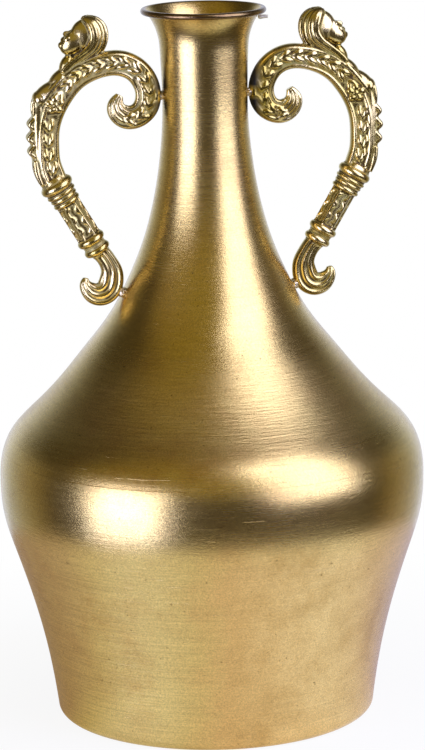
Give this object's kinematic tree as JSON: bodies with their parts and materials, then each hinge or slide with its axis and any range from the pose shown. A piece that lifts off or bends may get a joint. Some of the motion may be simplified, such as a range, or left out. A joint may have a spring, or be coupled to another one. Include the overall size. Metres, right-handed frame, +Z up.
{
  "type": "urn vase",
  "caption": "Tall metal urn vase with a round shoulder, a long neck, a flared wired rim and a cast scroll handle with a small bust on each side",
  "frame": {"origin": "centre of the standing foot, on the surface that the vase stands on", "axes": "+Z up along the vase's axis, X through both handles, Y across them"},
  "size_m": [0.245, 0.245, 0.41],
  "materials": {
    "sheet": "satin",
    "casting": "polished",
    "wire": "satin",
    "filler": "satin"
  },
  "bodies": {
    "root": {"upper_shell": "sheet", "lower_shell": "sheet", "rim_wire": "wire", "seam_braze": "filler", "handle_left": "casting", "handle_right": "casting", "upper_braze_left": "filler", "upper_braze_right": "filler", "lower_braze_left": "filler", "lower_braze_right": "filler"}
  },
  "joints": []
}
